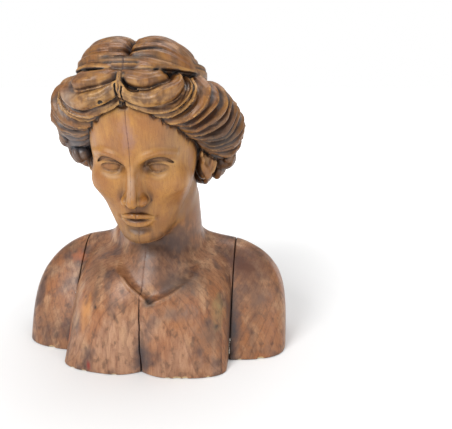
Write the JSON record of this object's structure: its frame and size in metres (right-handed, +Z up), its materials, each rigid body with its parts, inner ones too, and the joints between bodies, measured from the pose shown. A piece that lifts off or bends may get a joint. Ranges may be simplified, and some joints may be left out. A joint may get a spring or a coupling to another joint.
{
  "type": "ship figurehead bust",
  "caption": "Carved wooden figurehead bust with bowed head, parted wavy hair under a fillet, and shoulders cut flat below to stand free.",
  "frame": {"origin": "middle of the overall box, on the flat sawn underside that the bust stands on", "axes": "+Z up; the bust faces -Y; +X is the bust's own left"},
  "size_m": [0.4138, 0.2288, 0.4568],
  "materials": {
    "amber_wood": "aged amber wood, wax rubbed over old stain, satin",
    "brown_wood": "aged brown wood, wax rubbed over old stain, satin"
  },
  "bodies": {
    "root": {"core_left": "amber_wood", "core_right": "amber_wood", "shoulder_left": "brown_wood", "shoulder_right": "brown_wood"}
  },
  "joints": []
}
